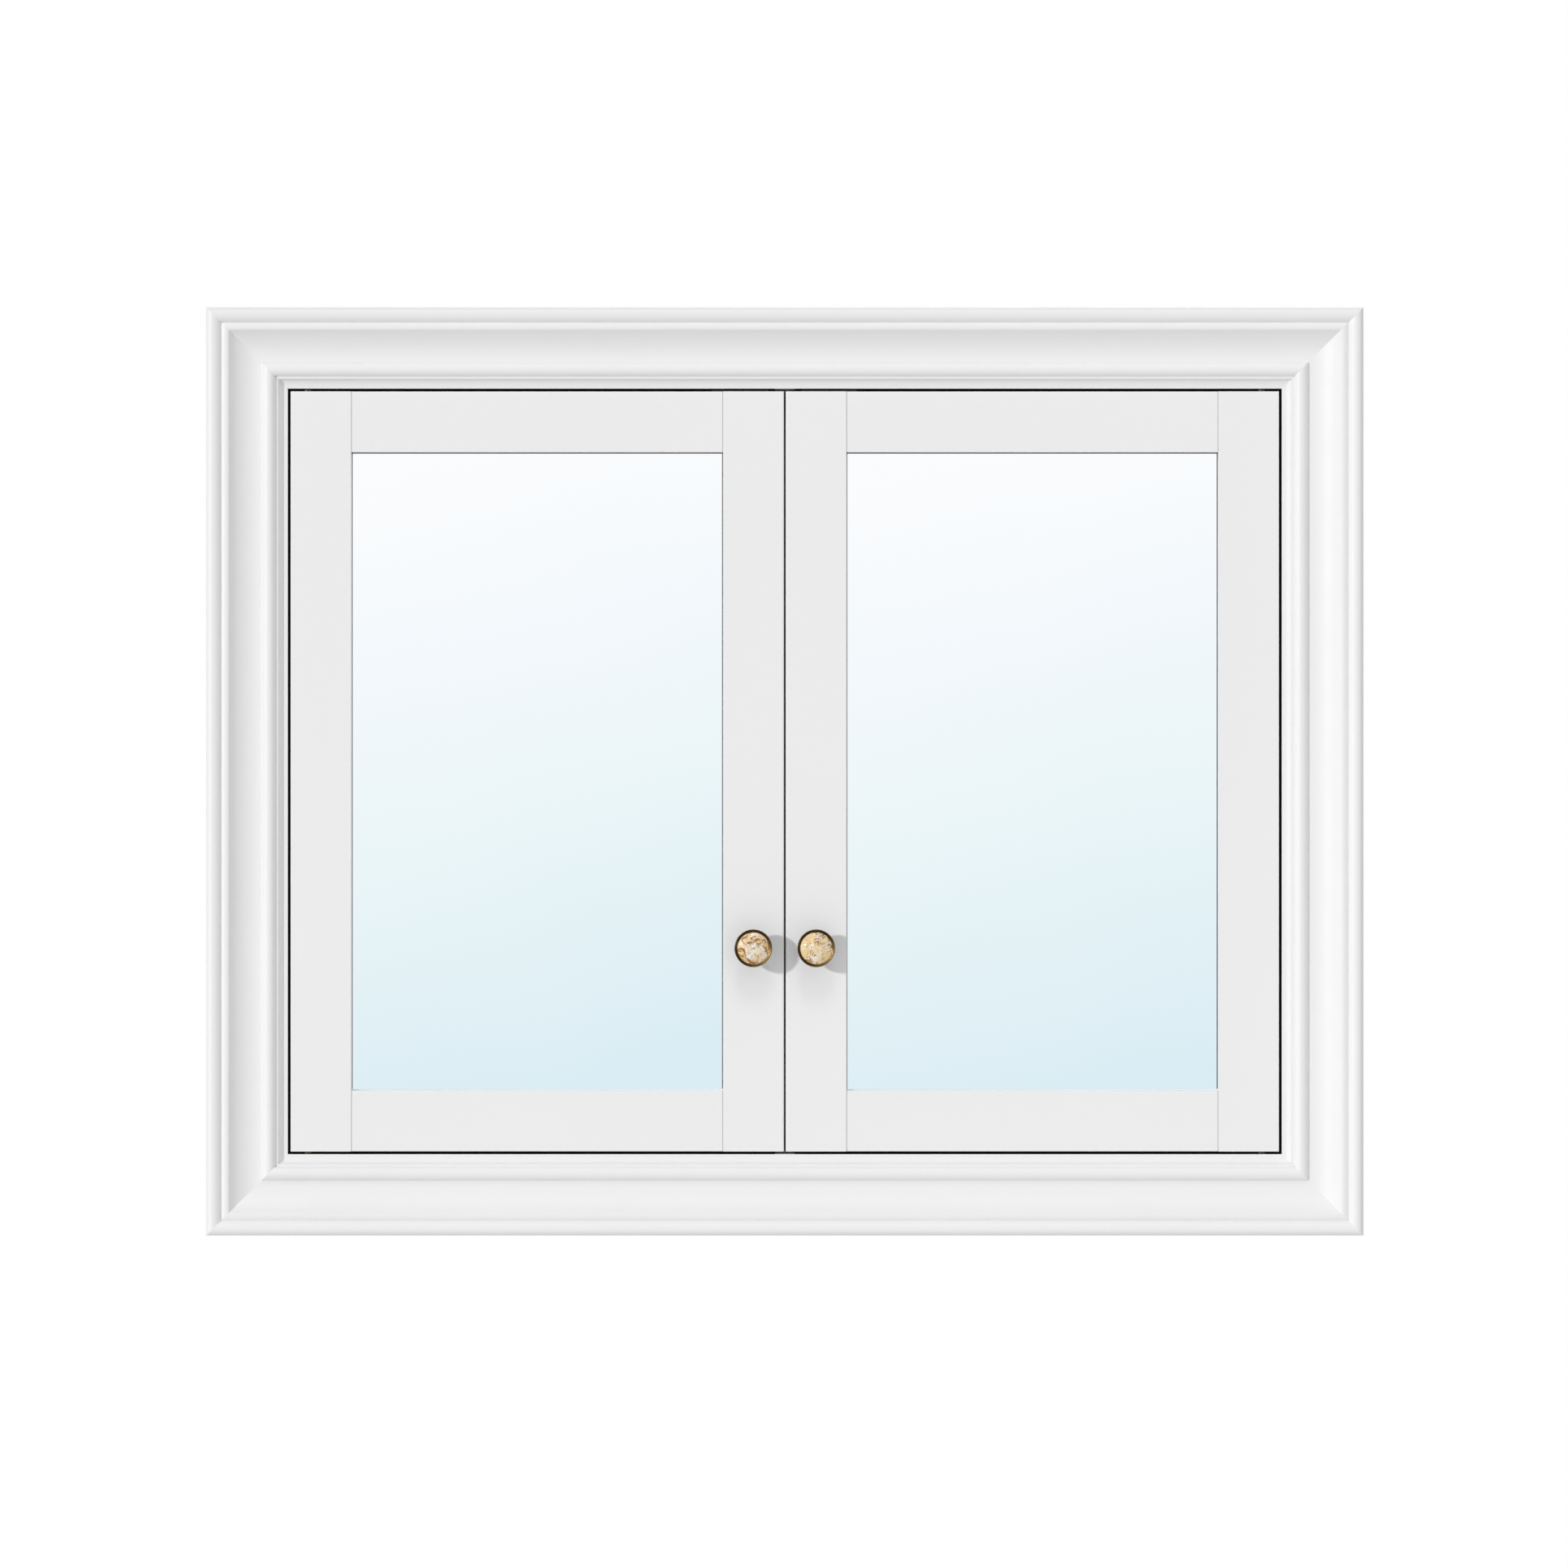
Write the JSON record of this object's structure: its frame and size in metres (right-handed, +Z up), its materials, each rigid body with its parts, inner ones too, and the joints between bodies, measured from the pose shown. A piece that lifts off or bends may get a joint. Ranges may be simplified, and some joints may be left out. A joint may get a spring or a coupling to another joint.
{
  "type": "medicine cabinet",
  "caption": "Recessed medicine cabinet with a mitred moulded frame, a box behind it, glass shelves and two hinged mirror doors with round knobs.",
  "frame": {"origin": "middle of the door opening, on the wall's surface", "axes": "+X to the viewer's right, +Y into the wall, +Z up; the doors face -Y"},
  "size_m": [0.95, 0.134, 0.762],
  "materials": {
    "painted_wood": "white satin lacquer",
    "white_board": "white satin melamine-faced board",
    "backing_board": "bare hardboard",
    "bare_beech": "bare",
    "mirror_glass": "silvered float glass",
    "shelf_glass": "polished float glass",
    "antique_bronze": "dark antique bronze with rubbed edges",
    "glazed_ceramic": "glossy marbled glaze",
    "zinc_steel": "zinc plated",
    "nickel": "nickel plated",
    "brass_washer": "turned",
    "catch_plastic": "moulded",
    "magnet": "sintered",
    "clear_rubber": "clear"
  },
  "bodies": {
    "cabinet": {"moulding_top": "painted_wood", "moulding_bottom": "painted_wood", "moulding_left": "painted_wood", "moulding_right": "painted_wood", "mitre_keys": "bare_beech", "side_panel_left": "white_board", "side_panel_right": "white_board", "top_panel": "white_board", "bottom_panel": "white_board", "divider_panel": "white_board", "back_panel": "white_board", "back_panel_screws": "zinc_steel", "dowels": "bare_beech", "shelf_left_lower": "shelf_glass", "shelf_right_lower": "shelf_glass", "shelf_left_upper": "shelf_glass", "shelf_right_upper": "shelf_glass", "shelf_pins": "nickel", "left_upper_pivot_leaf": "zinc_steel", "right_upper_pivot_leaf": "zinc_steel", "left_lower_pivot_leaf": "zinc_steel", "right_lower_pivot_leaf": "zinc_steel", "hinge_washers": "brass_washer", "left_catch": "catch_plastic", "right_catch": "catch_plastic", "catch_magnets": "magnet", "fixed_screws": "zinc_steel"},
    "left_door": {"left_hinge_stile": "painted_wood", "left_meeting_stile": "painted_wood", "left_top_rail": "painted_wood", "left_bottom_rail": "painted_wood", "left_mirror": "mirror_glass", "left_mirror_backing": "backing_board", "left_mirror_clips": "zinc_steel", "left_clip_screws": "zinc_steel", "left_upper_door_leaf": "zinc_steel", "left_lower_door_leaf": "zinc_steel", "left_door_screws": "zinc_steel", "left_strike_plate": "zinc_steel", "left_bumpers": "clear_rubber", "left_knob_body": "antique_bronze", "left_knob_insert": "glazed_ceramic", "left_knob_screw": "zinc_steel"},
    "right_door": {"right_hinge_stile": "painted_wood", "right_meeting_stile": "painted_wood", "right_top_rail": "painted_wood", "right_bottom_rail": "painted_wood", "right_mirror": "mirror_glass", "right_mirror_backing": "backing_board", "right_mirror_clips": "zinc_steel", "right_clip_screws": "zinc_steel", "right_upper_door_leaf": "zinc_steel", "right_lower_door_leaf": "zinc_steel", "right_door_screws": "zinc_steel", "right_strike_plate": "zinc_steel", "right_bumpers": "clear_rubber", "right_knob_body": "antique_bronze", "right_knob_insert": "glazed_ceramic", "right_knob_screw": "zinc_steel"}
  },
  "joints": [
    {"name": "left_door_hinge", "type": "hinge", "parent": "cabinet", "child": "left_door", "pos_m": [-0.3928, -0.006, 0], "axis": [0, 0, -1], "range_deg": [0, 120]},
    {"name": "right_door_hinge", "type": "hinge", "parent": "cabinet", "child": "right_door", "pos_m": [0.3928, -0.006, 0], "axis": [0, 0, 1], "range_deg": [0, 120]}
  ]
}
